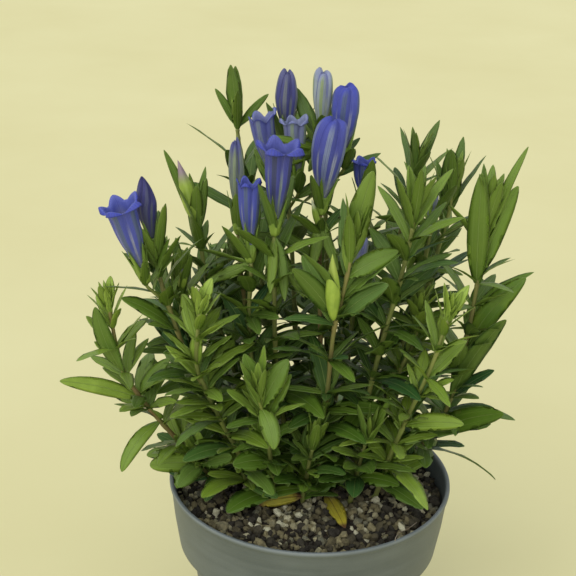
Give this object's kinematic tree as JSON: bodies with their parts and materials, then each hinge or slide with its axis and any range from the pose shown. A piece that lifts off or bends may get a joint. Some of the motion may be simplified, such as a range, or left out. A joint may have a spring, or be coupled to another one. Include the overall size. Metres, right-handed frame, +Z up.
{
  "type": "potted diana gentian",
  "caption": "Clump of leafy stems with violet-blue trumpet flowers, growing through stone grit in a round grey plastic pot with a deep collar.",
  "frame": {"origin": "centre of the pot's flat underside, on the surface that it stands on", "axes": "+Z up along the pot's axis; -Y towards the side that the picture shows; +X to its right"},
  "size_m": [0.2953, 0.2052, 0.418],
  "materials": {
    "grey_plastic": "satin",
    "compost": "matte",
    "grit": "matte",
    "crown": "matte",
    "leaf": "satin",
    "leaf_young": "satin",
    "calyx": "satin",
    "petal_blue": "matte",
    "petal_dark": "matte",
    "petal_pale": "matte",
    "withered_leaf": "matte"
  },
  "bodies": {
    "root": {"pot": "grey_plastic", "compost": "compost", "grit_layer": "grit", "crown_and_roots": "crown", "shoot_far_left": "leaf_young", "shoot_low_left": "leaf", "shoot_left_flower": "leaf", "shoot_left_young": "leaf_young", "shoot_left_bud": "leaf", "shoot_left_inner": "leaf", "shoot_back_tall": "leaf", "shoot_striped": "leaf", "shoot_small_blue": "leaf", "shoot_front_blue": "leaf", "shoot_back_trio": "leaf", "shoot_back_pair": "leaf", "shoot_tall_blue": "leaf", "shoot_front_main": "leaf", "shoot_right_inner": "leaf", "shoot_right_back": "leaf", "shoot_right_mid": "leaf", "shoot_right_bud": "leaf", "shoot_right_tall": "leaf", "shoot_far_right": "leaf", "shoot_right_young": "leaf_young", "shoot_right_light": "leaf_young", "shoot_front_cross": "leaf", "shoot_front_short": "leaf", "shoot_front_right_short": "leaf", "shoot_back_left_short": "leaf", "shoot_back_right_short": "leaf", "calyx_left_open": "calyx", "corolla_left_open": "petal_blue", "calyx_left_dark": "calyx", "corolla_left_dark": "petal_dark", "calyx_striped": "calyx", "corolla_striped": "petal_pale", "calyx_small_blue": "calyx", "corolla_small_blue": "petal_blue", "calyx_front_open": "calyx", "corolla_front_open": "petal_blue", "calyx_back_dark": "calyx", "corolla_back_dark": "petal_dark", "calyx_back_open": "calyx", "corolla_back_open": "petal_blue", "calyx_back_pale": "calyx", "corolla_back_pale": "petal_pale", "calyx_pale_striped": "calyx", "corolla_pale_striped": "petal_pale", "calyx_back_blue": "calyx", "corolla_back_blue": "petal_blue", "calyx_tall_blue": "calyx", "corolla_tall_blue": "petal_blue", "calyx_right_small": "calyx", "corolla_right_small": "petal_blue", "calyx_lavender": "calyx", "corolla_lavender": "petal_pale", "calyx_right_bud": "calyx", "corolla_right_bud": "petal_pale", "withered_leaf": "withered_leaf"}
  },
  "joints": []
}
